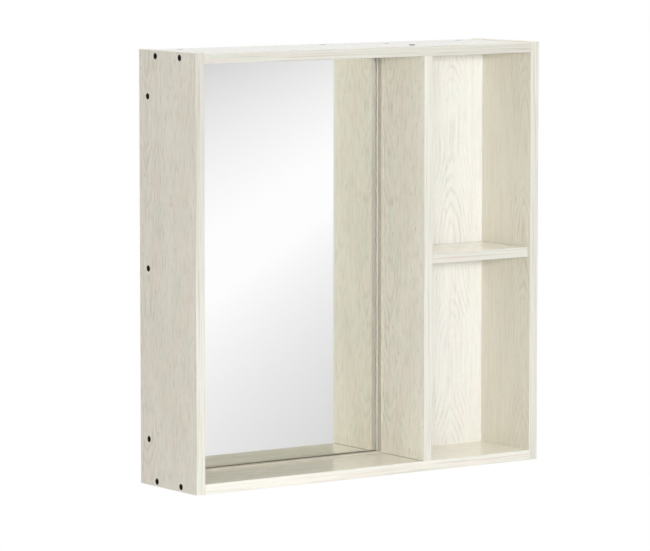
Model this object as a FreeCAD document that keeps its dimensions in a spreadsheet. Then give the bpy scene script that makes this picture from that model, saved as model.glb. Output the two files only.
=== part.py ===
import FreeCAD, Part
import os
import Sketcher

# A wall-hung bathroom cabinet of melamine-faced particle board: two side panels run the full
# height over the ends of a top and a bottom panel, a back panel closes the box a little in front
# of the wall, and a divider parts a wide bay with a mirror from a narrow bay with a loose shelf.
# Millimetres, +Z up, +X to the right as seen from the front, the front towards -Y.
# The origin lies on the wall plane, half way between the entry holes of the two hanger plates.

doc = FreeCAD.newDocument("bathroom_mirror_cabinet")
sheet = doc.addObject("Spreadsheet::Sheet", "sizes")
vector = FreeCAD.Vector


class Size:
    """A length of the cabinet, held as an expression on the sheet's cells."""

    def __init__(self, text):
        self.text = str(text)

    def __str__(self):
        return self.text

    def __add__(self, other):
        return Size(f"({self} + {other})")

    def __sub__(self, other):
        return Size(f"({self} - {other})")

    def __rsub__(self, other):
        return Size(f"({other} - {self})")

    def __mul__(self, factor):
        return Size(f"({self} * {factor})")

    def __truediv__(self, divisor):
        return Size(f"({self} / {divisor})")

    def __neg__(self):
        return Size(f"(0 - {self})")


sheet_rows = 0


def dimension(alias, value, meaning):
    """Write one driving dimension into the sheet and return it as a Size."""
    global sheet_rows
    sheet_rows += 1
    sheet.set(f"A{sheet_rows}", meaning)
    sheet.set(f"B{sheet_rows}", str(value))
    sheet.setAlias(f"B{sheet_rows}", alias)
    return Size(f"sizes.{alias}")


# Boards
mirror_bay_width = dimension("mirror_bay_width", 394, "left side panel to divider")
cubby_width = dimension("cubby_width", 186, "divider to right side panel")
lower_cubby_height = dimension("lower_cubby_height", 297, "bottom panel to underside of shelf")
upper_cubby_height = dimension("upper_cubby_height", 296.8, "top of shelf to top panel")
bay_depth = dimension("bay_depth", 121, "carcass front to back panel")
board_thickness = dimension("board_thickness", 15, "sides, top, bottom and divider")
back_thickness = dimension("back_thickness", 12, "back panel")
wall_recess = dimension("wall_recess", 16, "back panel to the rear edges of the sides")
side_rise = dimension("side_rise", 1.2, "how far the sides stand above the top panel")
band_thickness = dimension("band_thickness", 1, "edge band glued on the cut edges")
band_round = dimension("band_round", 0.6, "rounding along a band's long edges")

# Shelf and its pins
shelf_thickness = dimension("shelf_thickness", 15, "loose shelf")
shelf_setback = dimension("shelf_setback", 5, "shelf front behind the carcass front")
shelf_end_gap = dimension("shelf_end_gap", 0.75, "play at each end of the shelf")
shelf_rear_gap = dimension("shelf_rear_gap", 1, "play behind the shelf")
pin_diameter = dimension("pin_diameter", 5, "shank of a shelf pin")
pin_depth = dimension("pin_depth", 9, "shank inside its hole")
pin_play = dimension("pin_play", 0.05, "radial play of the shank")
pin_spare = dimension("pin_spare", 1, "hole left over behind the shank")
pin_bevel = dimension("pin_bevel", 0.6, "lead-in at the end of the shank")
pin_front_inset = dimension("pin_front_inset", 48, "front pins from the shelf's front edge")
pin_rear_inset = dimension("pin_rear_inset", 24, "rear pins from the shelf's rear edge")
collar_diameter = dimension("collar_diameter", 6, "collar that stops the pin at the board")
collar_thickness = dimension("collar_thickness", 1.4, "collar along the pin")
spoon_reach = dimension("spoon_reach", 9.5, "flat rest under the shelf, from the board")
spoon_thickness = dimension("spoon_thickness", 2, "flat rest")
spoon_bevel = dimension("spoon_bevel", 1.6, "bevelled outer corners of the rest")

# Connecting screws of the carcass
screw_length = dimension("screw_length", 40, "head to tip")
screw_head = dimension("screw_head", 9.5, "countersunk head diameter")
screw_neck = dimension("screw_neck", 6.6, "plain neck inside the outer board")
screw_core = dimension("screw_core", 5, "threaded length at its core")
screw_tip = dimension("screw_tip", 3, "tapered end")
screw_point = dimension("screw_point", 2.4, "diameter of the blunt end")
screw_sink = dimension("screw_sink", 0.2, "head below the board's face")
screw_play = dimension("screw_play", 0.15, "radial play round head and neck")
pilot_play = dimension("pilot_play", 0.1, "radial play round the core")
pilot_spare = dimension("pilot_spare", 2, "hole left over past the tip")
socket_width = dimension("socket_width", 4, "hexagon socket across its flats")
socket_depth = dimension("socket_depth", 2.6, "hexagon socket")
panel_screw_front = dimension("panel_screw_front", 42, "front screws from the carcass front")
panel_screw_rear = dimension("panel_screw_rear", 15, "rear screws in front of the back panel")
back_screw_end = dimension("back_screw_end", 68, "back screws from the ends of a side panel")
back_screw_side = dimension("back_screw_side", 57, "back screws from the outer side faces")

# Mirror
mirror_gap = dimension("mirror_gap", 1.5, "glass edge to the boards round it")
glass_thickness = dimension("glass_thickness", 4, "mirror glass")
glass_arris = dimension("glass_arris", 0.6, "ground edge of the glass")
silvering_thickness = dimension("silvering_thickness", 0.1, "silver coat and backing paint")
tape_thickness = dimension("tape_thickness", 1.9, "foam tape that holds the mirror")
tape_width = dimension("tape_width", 20, "foam tape")
tape_margin = dimension("tape_margin", 45, "mirror edge to the nearest tape")
bead_depth = dimension("bead_depth", 10, "bead in front of the glass, front to back")
bead_thickness = dimension("bead_thickness", 3, "bead out from its board")
bead_round = dimension("bead_round", 0.5, "rounding along a bead's front edges")

# Hanger plates at the upper rear corners
hanger_sheet = dimension("hanger_sheet", 1.5, "steel sheet of the plates")
hanger_leg = dimension("hanger_leg", 62, "plate along the side panel and along the top panel")
hanger_inset = dimension("hanger_inset", 1.5, "plate from the outer faces of the carcass")
hanger_tab = dimension("hanger_tab", 12.5, "width of a leg at its end")
hanger_round = dimension("hanger_round", 4, "rounded corners of the plate")
keyhole_inset = dimension("keyhole_inset", 29, "entry hole from the outer side face")
keyhole_drop = dimension("keyhole_drop", 33, "entry hole below the top of the top panel")
keyhole_entry = dimension("keyhole_entry", 9.5, "entry hole for a screw head")
keyhole_slot = dimension("keyhole_slot", 5, "slot for the screw's shank")
keyhole_rise = dimension("keyhole_rise", 9, "entry hole's centre to the slot's end centre")
fixing_near = dimension("fixing_near", 26, "nearer plate screw from the corner's outer faces")
fixing_end = dimension("fixing_end", 15, "further plate screw from the end of the plate's leg")
fixing_length = dimension("fixing_length", 16, "plate screw, head to tip")
fixing_head = dimension("fixing_head", 5.6, "plate screw's countersunk head")
fixing_core = dimension("fixing_core", 3, "plate screw's shank")
fixing_tip = dimension("fixing_tip", 3, "plate screw's tapered end")
fixing_point = dimension("fixing_point", 0.8, "plate screw's point")
cross_span = dimension("cross_span", 3, "cross recess from end to end")
cross_width = dimension("cross_width", 0.9, "one arm of the cross recess")
cross_depth = dimension("cross_depth", 1, "cross recess")
doc.recompute()

# Planes of the carcass, worked out from the driving dimensions
carcass_width = mirror_bay_width + cubby_width + board_thickness * 3
inner_height = lower_cubby_height + shelf_thickness + upper_cubby_height
carcass_height = inner_height + board_thickness * 2 + side_rise
carcass_depth = bay_depth + back_thickness + wall_recess
rear = -hanger_sheet
front = rear - carcass_depth
left = -(carcass_width / 2)
right = carcass_width / 2
top = keyhole_drop
side_top = top + side_rise
base = side_top - carcass_height
inner_top = top - board_thickness
inner_base = base + board_thickness
board_front = front + band_thickness
board_depth = carcass_depth - band_thickness
back_front = front + bay_depth
bay_left = left + board_thickness
bay_right = bay_left + mirror_bay_width
cubby_left = bay_right + board_thickness
cubby_right = right - board_thickness
shelf_base = inner_base + lower_cubby_height
shelf_front = front + shelf_setback

# Middles of the boards, where the screws run
top_middle = top - board_thickness / 2
base_middle = base + board_thickness / 2
back_middle = back_front + back_thickness / 2
divider_middle = bay_right + board_thickness / 2
left_middle = left + board_thickness / 2
right_middle = right - board_thickness / 2

# Height of the pins: the collar's top is level with the flat rest under the shelf
pin_height = shelf_base - collar_diameter / 2
pin_front = shelf_front + pin_front_inset
pin_rear = back_front - shelf_rear_gap - pin_rear_inset


def sketch_on(body, name, role, offset):
    """An empty sketch on one of the body's origin planes, moved along the plane's normal."""
    sketch = body.newObject("Sketcher::SketchObject", name)
    plane = next(item for item in body.Origin.OriginFeatures if item.Role == role)
    sketch.AttachmentSupport = [(plane, "")]
    sketch.MapMode = "FlatFace"
    sketch.setExpression("AttachmentOffset.Base.z", str(offset))
    return sketch


def pin_down(sketch, geometry, point, x, y):
    """Hold one point of the sketch at x and y from its origin."""
    for axis_kind, axis_line, value in (("DistanceX", -2, x), ("DistanceY", -1, y)):
        if value == 0:
            sketch.addConstraint(Sketcher.Constraint("PointOnObject", geometry, point, axis_line))
            continue
        number = sketch.addConstraint(
            Sketcher.Constraint(axis_kind, -1, 1, geometry, point, 1.0)
        )
        sketch.setExpression(f"Constraints[{number}]", str(value))


def polygon(body, name, role, corners, offset=0):
    """A closed outline with straight sides through the corners, each an x and a y."""
    sketch = sketch_on(body, name, role, offset)
    count = len(corners)
    spread = [vector(index, index * index + 1, 0) for index in range(count)]
    for index in range(count):
        sketch.addGeometry(Part.LineSegment(spread[index], spread[(index + 1) % count]))
    for index in range(count):
        sketch.addConstraint(
            Sketcher.Constraint("Coincident", index, 2, (index + 1) % count, 1)
        )
    for index, (x, y) in enumerate(corners):
        pin_down(sketch, index, 1, x, y)
    return sketch


def circles(body, name, role, centres, diameter, offset=0):
    """One circle of the given diameter at each centre."""
    sketch = sketch_on(body, name, role, offset)
    for x, y in centres:
        circle = sketch.addGeometry(Part.Circle(vector(1, 1, 0), vector(0, 0, 1), 1.0))
        number = sketch.addConstraint(Sketcher.Constraint("Diameter", circle, 1.0))
        sketch.setExpression(f"Constraints[{number}]", str(diameter))
        pin_down(sketch, circle, 3, x, y)
    return sketch


def new_body(label, place):
    body = doc.addObject("PartDesign::Body", label)
    for axis, value in zip("xyz", place):
        body.setExpression(f"Placement.Base.{axis}", str(value))
    return body


def pad(body, sketch, length):
    feature = body.newObject("PartDesign::Pad", "pad")
    feature.Profile = sketch
    feature.setExpression("Length", str(length))
    doc.recompute()
    return feature


def must_cut(body, volume_before):
    """Stop if the last feature of the body took nothing away."""
    doc.recompute()
    if body.Shape.Volume >= volume_before:
        raise RuntimeError(f"{body.Label}: a cut points away from the solid")


def pocket(body, sketch, depth, along_normal):
    doc.recompute()
    volume = body.Shape.Volume
    feature = body.newObject("PartDesign::Pocket", "pocket")
    feature.Profile = sketch
    feature.Reversed = along_normal
    feature.setExpression("Length", str(depth))
    must_cut(body, volume)


def hole(body, sketch, diameter, along_normal, depth=None):
    """A round drilled hole at each circle: blind with a depth, through without."""
    doc.recompute()
    volume = body.Shape.Volume
    feature = body.newObject("PartDesign::Hole", "hole")
    feature.Profile = sketch
    feature.Threaded = False
    feature.Reversed = along_normal
    feature.setExpression("Diameter", str(diameter))
    if depth is None:
        feature.DepthType = "ThroughAll"
    else:
        feature.DepthType = "Dimension"
        feature.DrillPoint = "Flat"
        feature.setExpression("Depth", str(depth))
    must_cut(body, volume)


def dress(body, kind, size, wanted):
    """Round or bevel the edges of the body's last feature whose box passes the test."""
    doc.recompute()
    base_feature = body.Tip
    edges = base_feature.Shape.Edges
    names = [f"Edge{n}" for n, edge in enumerate(edges, 1) if wanted(edge.BoundBox)]
    feature = body.newObject(f"PartDesign::{kind}", kind.lower())
    feature.Base = (base_feature, names)
    feature.setExpression("Radius" if kind == "Fillet" else "Size", str(size))
    doc.recompute()


NEAR = 1e-6


def board(label, place, size):
    """A flat board with its lowest left front corner at place."""
    body = new_body(label, place)
    width, depth, height = size
    corners = [(0, 0), (width, 0), (width, depth), (0, depth)]
    pad(body, polygon(body, "outline", "XY_Plane", corners), height)
    return body


SPINDLE_SIDES = 10


def spindle(label, rings):
    """A slim many-sided solid along +Z through rings, each given by its height and diameter."""
    sections = []
    for number, (height, diameter) in enumerate(rings, 1):
        ring = doc.addObject("Part::RegularPolygon", f"{label}_ring_{number}")
        ring.Polygon = SPINDLE_SIDES
        ring.setExpression("Circumradius", str(diameter / 2))
        ring.setExpression("Placement.Base.z", str(height))
        sections.append(ring)
    solid = doc.addObject("Part::Loft", label)
    solid.Sections = sections
    solid.Solid = True
    solid.Ruled = True
    return solid


def block(label, size, place):
    """A plain block with its lowest left front corner at place."""
    solid = doc.addObject("Part::Box", label)
    for name, value in zip(("Length", "Width", "Height"), size):
        solid.setExpression(name, str(value))
    for axis, value in zip("xyz", place):
        solid.setExpression(f"Placement.Base.{axis}", str(value))
    return solid


def cut(label, piece, tool):
    """The piece with the tool's room taken out of it."""
    result = doc.addObject("Part::Cut", label)
    result.Base = piece
    result.Tool = tool
    doc.recompute()
    if result.Shape.Volume >= piece.Shape.Volume:
        raise RuntimeError(f"{label}: a cut misses the solid")
    return result


def copies(label, pattern, places, rotation):
    """Copies of one piece at the places, all turned alike."""
    links = []
    for number, place in enumerate(places, 1):
        link = doc.addObject("App::Link", f"{label}_{number}")
        link.LinkedObject = pattern
        link.Placement = FreeCAD.Placement(vector(), rotation)
        for axis, value in zip("xyz", place):
            link.setExpression(f"Placement.Base.{axis}", str(value))
        links.append(link)
    return links


def compound(label, members):
    """One node of separate solids."""
    node = doc.addObject("Part::Compound", label)
    node.Links = members
    return node


def bored(label, piece, drills):
    """The piece with a bore for every drill."""
    return cut(label, piece, compound(f"{label}_bores", drills))


nodes = []

# Places of the connecting screws, each given once for the screw and the drills that make room
# for it. A side panel has two into the top panel, two into the bottom panel and three into the
# back panel; the top and the bottom panel have three into the back panel and two into the divider.
panel_rows = [front + panel_screw_front, back_front - panel_screw_rear]
top_end_spots = [(y, top_middle) for y in panel_rows]
base_end_spots = [(y, base_middle) for y in panel_rows]
back_heights = [base + back_screw_end, base + carcass_height / 2, side_top - back_screw_end]
back_end_spots = [(back_middle, z) for z in back_heights]
side_spots = top_end_spots + base_end_spots + back_end_spots
back_columns = [left + back_screw_side, Size(0), right - back_screw_side]
back_edge_spots = [(x, back_middle) for x in back_columns]
flat_spots = back_edge_spots + [(divider_middle, y) for y in panel_rows]
left_heads = [(left + screw_sink, y, z) for y, z in side_spots]
right_heads = [(right - screw_sink, y, z) for y, z in side_spots]
top_heads = [(x, y, top - screw_sink) for x, y in flat_spots]
bottom_heads = [(x, y, base + screw_sink) for x, y in flat_spots]

# Places of the hanger plates' screws on the rear edges
fixing_far = hanger_inset + hanger_leg - fixing_end
fixing_heights = [top - fixing_near, top - fixing_far]
left_fixing_spots = [(left_middle, z) for z in fixing_heights]
right_fixing_spots = [(right_middle, z) for z in fixing_heights]
top_fixing_spots = [
    (x, top_middle)
    for x in (left + fixing_near, left + fixing_far, right - fixing_far, right - fixing_near)
]

left_fixing_heads, right_fixing_heads, top_fixing_heads = (
    [(x, -screw_sink, z) for x, z in spots]
    for spots in (left_fixing_spots, right_fixing_spots, top_fixing_spots)
)

# Connecting screw: countersunk head, plain neck, threaded length at its core, blunt end
neck_taper = (screw_neck - screw_core) / 2
neck_end = board_thickness - screw_sink - neck_taper
connector_blank = spindle(
    "connector_blank",
    [
        (0, screw_head),
        ((screw_head - screw_neck) / 2, screw_neck),
        (neck_end, screw_neck),
        (neck_end + neck_taper, screw_core),
        (screw_length - screw_tip, screw_core),
        (screw_length, screw_point),
    ],
)
CORNER_PER_FLATS = 3**-0.5
hexagon = doc.addObject("Part::Prism", "hexagon_socket")
hexagon.Polygon = 6
hexagon.setExpression("Circumradius", str(socket_width * CORNER_PER_FLATS))
hexagon.setExpression("Height", str(socket_depth))
connector = cut("connecting_screw", connector_blank, hexagon)

# Plate screw: small and countersunk, with a cross recess
plate_screw_blank = spindle(
    "plate_screw_blank",
    [
        (0, fixing_head),
        ((fixing_head - fixing_core) / 2, fixing_core),
        (fixing_length - fixing_tip, fixing_core),
        (fixing_length, fixing_point),
    ],
)
arm = cross_width / 2
reach = cross_span / 2
cross = doc.addObject("Part::MultiFuse", "cross_recess")
cross.Shapes = [
    block("cross_arm_1", (cross_span, cross_width, cross_depth), (-reach, -arm, 0)),
    block("cross_arm_2", (cross_width, cross_span, cross_depth), (-arm, -reach, 0)),
]
plate_screw = cut("plate_screw", plate_screw_blank, cross)

# Drills for the screws, in the screws' own frames: a countersunk bore through the outer piece,
# and a narrower pilot bore in the board behind it
through_bore = screw_neck + screw_play * 2
through_sink = screw_head + (screw_play + screw_sink) * 2
through_drill = spindle(
    "through_drill",
    [
        (-screw_sink, through_sink),
        ((through_sink - through_bore) / 2 - screw_sink, through_bore),
        (screw_length, through_bore),
    ],
)
pilot_bore = screw_core + pilot_play * 2
pilot_drill = spindle("pilot_drill", [(0, pilot_bore), (screw_length + pilot_spare, pilot_bore)])
plate_bore = fixing_core + screw_play * 2
plate_sink = fixing_head + (screw_play + screw_sink) * 2
plate_drill = spindle(
    "plate_drill",
    [
        (-screw_sink, plate_sink),
        ((plate_sink - plate_bore) / 2 - screw_sink, plate_bore),
        (fixing_length, plate_bore),
    ],
)
fixing_bore = fixing_core + pilot_play * 2
fixing_drill = spindle(
    "fixing_drill", [(0, fixing_bore), (fixing_length + pilot_spare, fixing_bore)]
)

# Every screw and drill stands at its head's place, turned into the board
into_right = FreeCAD.Rotation(vector(0, 1, 0), 90)
into_left = FreeCAD.Rotation(vector(0, 1, 0), -90)
downwards = FreeCAD.Rotation(vector(1, 0, 0), 180)
upwards = FreeCAD.Rotation()
into_front = FreeCAD.Rotation(vector(1, 0, 0), 90)
left_throughs = copies("left_through", through_drill, left_heads, into_right)
right_throughs = copies("right_through", through_drill, right_heads, into_left)
top_throughs = copies("top_through", through_drill, top_heads, downwards)
bottom_throughs = copies("bottom_through", through_drill, bottom_heads, upwards)
left_pilots = copies("left_pilot", pilot_drill, left_heads, into_right)
right_pilots = copies("right_pilot", pilot_drill, right_heads, into_left)
top_pilots = copies("top_pilot", pilot_drill, top_heads, downwards)
bottom_pilots = copies("bottom_pilot", pilot_drill, bottom_heads, upwards)
left_fixings = copies("left_fixing", fixing_drill, left_fixing_heads, into_front)
right_fixings = copies("right_fixing", fixing_drill, right_fixing_heads, into_front)
top_fixings = copies("top_fixing", fixing_drill, top_fixing_heads, into_front)
left_plate_drills = copies(
    "left_plate_drill", plate_drill, left_fixing_heads + top_fixing_heads[:2], into_front
)

# Places of the shelf pins, and their holes in the sides of the shelf's bay
pin_spots = [(y, pin_height) for y in (pin_front, pin_rear)]
pin_bore = pin_diameter + pin_play * 2
pin_hole_depth = pin_depth + pin_spare


def drill_for_pins(body, body_base, offset, along_normal):
    """Blind holes for the shelf pins in a board that stands upright."""
    spots = [(y - board_front, z - body_base) for y, z in pin_spots]
    sketch = circles(body, "pin_holes", "YZ_Plane", spots, pin_bore, offset)
    hole(body, sketch, pin_bore, along_normal, pin_hole_depth)


# Side panels
side_size = (board_thickness, board_depth, carcass_height - band_thickness * 2)
side_base = base + band_thickness
left_side = board("left_side_blank", (left, board_front, side_base), side_size)
right_side = board("right_side_blank", (cubby_right, board_front, side_base), side_size)
drill_for_pins(right_side, side_base, 0, along_normal=True)
nodes.append(bored("left_side_panel", left_side, left_throughs + left_fixings))
nodes.append(bored("right_side_panel", right_side, right_throughs + right_fixings))

# Top and bottom panels
inner_width = carcass_width - board_thickness * 2
flat_size = (inner_width, board_depth, board_thickness)
top_blank = board("top_blank", (bay_left, board_front, inner_top), flat_size)
top_drills = top_throughs + left_pilots[:2] + right_pilots[:2] + top_fixings
nodes.append(bored("top_panel", top_blank, top_drills))
bottom_blank = board("bottom_blank", (bay_left, board_front, base), flat_size)
bottom_drills = bottom_throughs + left_pilots[2:4] + right_pilots[2:4]
nodes.append(bored("bottom_panel", bottom_blank, bottom_drills))

# Divider between the mirror bay and the shelf bay
divider_place = (bay_right, board_front, inner_base)
divider_size = (board_thickness, back_front - board_front, inner_height)
divider = board("divider_blank", divider_place, divider_size)
drill_for_pins(divider, inner_base, board_thickness, along_normal=False)
nodes.append(bored("divider_panel", divider, top_pilots[3:] + bottom_pilots[3:]))

# Back panel, held by screws through all four boards round it
back_size = (inner_width, back_thickness, inner_height)
back_blank = board("back_blank", (bay_left, back_front, inner_base), back_size)
back_drills = left_pilots[4:] + right_pilots[4:] + top_pilots[:3] + bottom_pilots[:3]
nodes.append(bored("back_panel", back_blank, back_drills))

# Loose shelf
shelf_left = cubby_left + shelf_end_gap
shelf_width = cubby_width - shelf_end_gap * 2
shelf_board_front = shelf_front + band_thickness
shelf_depth = back_front - shelf_rear_gap - shelf_board_front
shelf_size = (shelf_width, shelf_depth, shelf_thickness)
nodes.append(board("shelf_panel", (shelf_left, shelf_board_front, shelf_base), shelf_size))

# Edge bands: thin strips on the cut edges, rounded along the two long edges that show
upper_band = side_top - band_thickness
side_front_size = (board_thickness, band_thickness, carcass_height)
side_end_size = (board_thickness, board_depth, band_thickness)
flat_front_size = (inner_width, band_thickness, board_thickness)
divider_front_size = (board_thickness, band_thickness, inner_height)
shelf_front_size = (shelf_width, band_thickness, shelf_thickness)
bands = [
    ("left_side_front_band", "front", (left, front, base), side_front_size),
    ("left_side_top_band", "top", (left, board_front, upper_band), side_end_size),
    ("left_side_bottom_band", "bottom", (left, board_front, base), side_end_size),
    ("right_side_front_band", "front", (cubby_right, front, base), side_front_size),
    ("right_side_top_band", "top", (cubby_right, board_front, upper_band), side_end_size),
    ("right_side_bottom_band", "bottom", (cubby_right, board_front, base), side_end_size),
    ("top_front_band", "front", (bay_left, front, inner_top), flat_front_size),
    ("bottom_front_band", "front", (bay_left, front, base), flat_front_size),
    ("divider_front_band", "front", (bay_right, front, inner_base), divider_front_size),
    ("shelf_front_band", "front", (shelf_left, shelf_front, shelf_base), shelf_front_size),
]


def outer_long_edges(whole, facing):
    """A test for the two long edges of a band on the face that shows."""
    longest = max(whole.XLength, whole.YLength, whole.ZLength)

    def wanted(box):
        if max(box.XLength, box.YLength, box.ZLength) < longest - NEAR:
            return False
        if facing == "front":
            return box.YMax < whole.YMin + NEAR
        if facing == "top":
            return box.ZMin > whole.ZMax - NEAR
        return box.ZMax < whole.ZMin + NEAR

    return wanted


for label, facing, place, size in bands:
    band = board(label, place, size)
    dress(band, "Fillet", band_round, outer_long_edges(band.Tip.Shape.BoundBox, facing))
    nodes.append(band)

# Mirror: a ground pane, its silvered and painted back, and the foam tape that holds it
mirror_width = mirror_bay_width - mirror_gap * 2
mirror_height = inner_height - mirror_gap * 2
mirror_left = bay_left + mirror_gap
mirror_base = inner_base + mirror_gap
tape_front = back_front - tape_thickness
silvering_front = tape_front - silvering_thickness
glass_front = silvering_front - glass_thickness
mirror_glass = board(
    "mirror_glass",
    (mirror_left, glass_front, mirror_base),
    (mirror_width, glass_thickness, mirror_height),
)
dress(mirror_glass, "Chamfer", glass_arris, lambda box: box.YLength < NEAR)
nodes.append(mirror_glass)
silvering_place = (mirror_left + glass_arris, silvering_front, mirror_base + glass_arris)
silvering_size = (
    mirror_width - glass_arris * 2,
    silvering_thickness,
    mirror_height - glass_arris * 2,
)
nodes.append(board("mirror_silvering", silvering_place, silvering_size))

# Beads that frame the mirror: slim strips on the boards round the bay, close against the glass.
# The upright ones stand between the one below and the one above.
bead_front = glass_front - bead_depth
lying_bead_size = (mirror_bay_width, bead_depth, bead_thickness)
standing_bead_base = inner_base + bead_thickness
standing_bead_size = (bead_thickness, bead_depth, inner_height - bead_thickness * 2)
beads = [
    ("mirror_bottom_bead", (bay_left, bead_front, inner_base), lying_bead_size),
    ("mirror_top_bead", (bay_left, bead_front, inner_top - bead_thickness), lying_bead_size),
    ("mirror_left_bead", (bay_left, bead_front, standing_bead_base), standing_bead_size),
    ("mirror_right_bead", (bay_right - bead_thickness, bead_front, standing_bead_base), standing_bead_size),
]
for label, place, size in beads:
    bead = board(label, place, size)
    dress(bead, "Fillet", bead_round, outer_long_edges(bead.Tip.Shape.BoundBox, "front"))
    nodes.append(bead)

TAPE_STRIPS = 4
tape_step = (mirror_width - tape_margin * 2 - tape_width) / (TAPE_STRIPS - 1)
tape_height = mirror_height - tape_margin * 2
tape_strips = [
    block(
        f"tape_strip_{number + 1}",
        (tape_width, tape_thickness, tape_height),
        (mirror_left + tape_margin + tape_step * number, tape_front, mirror_base + tape_margin),
    )
    for number in range(TAPE_STRIPS)
]
nodes.append(compound("mirror_tape_strips", tape_strips))

# Connecting screws, one group for each board that their heads sit in
for label, heads, rotation in (
    ("left_side_screws", left_heads, into_right),
    ("right_side_screws", right_heads, into_left),
    ("top_screws", top_heads, downwards),
    ("bottom_screws", bottom_heads, upwards),
):
    nodes.append(compound(label, copies(label, connector, heads, rotation)))

# Shelf pins: a shank and a collar with a flat rest that reaches under the shelf. The shank
# points along -Z into its board, the rest along +Z, and the rest's upper face towards +Y.
pin_shank = spindle(
    "pin_shank",
    [
        (-pin_depth, pin_diameter - pin_bevel * 2),
        (pin_bevel - pin_depth, pin_diameter),
        (collar_thickness, pin_diameter),
    ],
)
pin_collar = spindle("pin_collar", [(0, collar_diameter), (collar_thickness, collar_diameter)])
collar_radius = collar_diameter / 2
rest_base = collar_radius - spoon_thickness
pin_rest = board(
    "pin_rest",
    (-collar_radius, rest_base, 0),
    (collar_diameter, spoon_thickness, spoon_reach),
)
rest_end = pin_rest.Shape.BoundBox.ZMax
dress(
    pin_rest,
    "Chamfer",
    spoon_bevel,
    lambda box: box.ZMin > rest_end - NEAR and box.XLength < NEAR,
)
pin = doc.addObject("Part::MultiFuse", "shelf_pin")
pin.Shapes = [pin_shank, pin_collar, pin_rest]
outwards = FreeCAD.Rotation(vector(1, 1, 1), 120)
half_turn = FreeCAD.Rotation(vector(0, 0, 1), 180)
divider_pin_places = [(cubby_left, y, z) for y, z in pin_spots]
right_pin_places = [(cubby_right, y, z) for y, z in pin_spots]
divider_pins = copies("divider_pin", pin, divider_pin_places, outwards)
right_side_pins = copies("right_side_pin", pin, right_pin_places, half_turn * outwards)
nodes.append(compound("shelf_pins", divider_pins + right_side_pins))

# Hanger plates: pressed steel corners on the rear edges, each with a keyhole over the recess
plate_left = left + hanger_inset
plate_base = top - hanger_inset - hanger_leg
left_plate_blank = new_body("left_plate_blank", (plate_left, 0, plate_base))
plate_corners = [
    (0, 0),
    (hanger_tab, 0),
    (hanger_leg, hanger_leg - hanger_tab),
    (hanger_leg, hanger_leg),
    (0, hanger_leg),
]
pad(left_plate_blank, polygon(left_plate_blank, "outline", "XZ_Plane", plate_corners), hanger_sheet)
dress(left_plate_blank, "Fillet", hanger_round, lambda box: box.XLength < NEAR and box.ZLength < NEAR)

keyhole_x = keyhole_inset - hanger_inset
keyhole_z = -plate_base
entry = circles(left_plate_blank, "entry", "XZ_Plane", [(keyhole_x, keyhole_z)], keyhole_entry)
hole(left_plate_blank, entry, keyhole_entry, along_normal=True)
slot_corners = [
    (keyhole_x - keyhole_slot / 2, keyhole_z),
    (keyhole_x + keyhole_slot / 2, keyhole_z),
    (keyhole_x + keyhole_slot / 2, keyhole_z + keyhole_rise),
    (keyhole_x - keyhole_slot / 2, keyhole_z + keyhole_rise),
]
slot = polygon(left_plate_blank, "slot", "XZ_Plane", slot_corners)
pocket(left_plate_blank, slot, hanger_sheet, along_normal=True)
slot_end_spot = [(keyhole_x, keyhole_z + keyhole_rise)]
slot_end = circles(left_plate_blank, "slot_end", "XZ_Plane", slot_end_spot, keyhole_slot)
hole(left_plate_blank, slot_end, keyhole_slot, along_normal=True)
left_plate = bored("left_hanger_plate", left_plate_blank, left_plate_drills)
right_plate = doc.addObject("Part::Mirroring", "right_hanger_plate")
right_plate.Source = left_plate
right_plate.Normal = vector(1, 0, 0)
nodes += [left_plate, right_plate]

# Plate screws
plate_screw_heads = left_fixing_heads + right_fixing_heads + top_fixing_heads
plate_screws = copies("hanger_screw", plate_screw, plate_screw_heads, into_front)
nodes.append(compound("hanger_screws", plate_screws))

doc.recompute()
for item in doc.Objects:
    if "Invalid" in item.State or "Error" in item.State:
        raise RuntimeError(f"{item.Label} failed: {item.State}")
for node in nodes:
    if node.Shape.isNull() or not node.Shape.isValid() or not node.Shape.Solids:
        raise RuntimeError(f"{node.Label} has no valid solid")

os.makedirs("parts", exist_ok=True)
for node in nodes:
    node.Shape.exportStep(f"parts/{node.Label}.step")
    solids = node.Shape.Solids
    box = node.Shape.BoundBox
    extent = f"{box.XLength:.1f} x {box.YLength:.1f} x {box.ZLength:.1f}"
    print(f"{node.Label}: {len(solids)} solid(s), {extent} mm")
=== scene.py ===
# %% [markdown]
# # A wall-hung bathroom cabinet with a mirror
# The cabinet is a box of melamine-faced boards with a bleached-oak print. A mirror fills the wide
# bay, and a loose shelf parts the narrow one. The boards, the edge bands, the glass, two of its four
# beads, the foam tape and the hanger plates come from the measured model and keep their shape. This
# lesson gives each of them its finish, models the silver coat, the other two beads, the screws and
# the shelf pins anew, and sets up the studio.

# %% Load the measured model
from math import cos, pi, radians, sin

import bmesh
import bpy
from mathutils import Matrix, Vector


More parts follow.
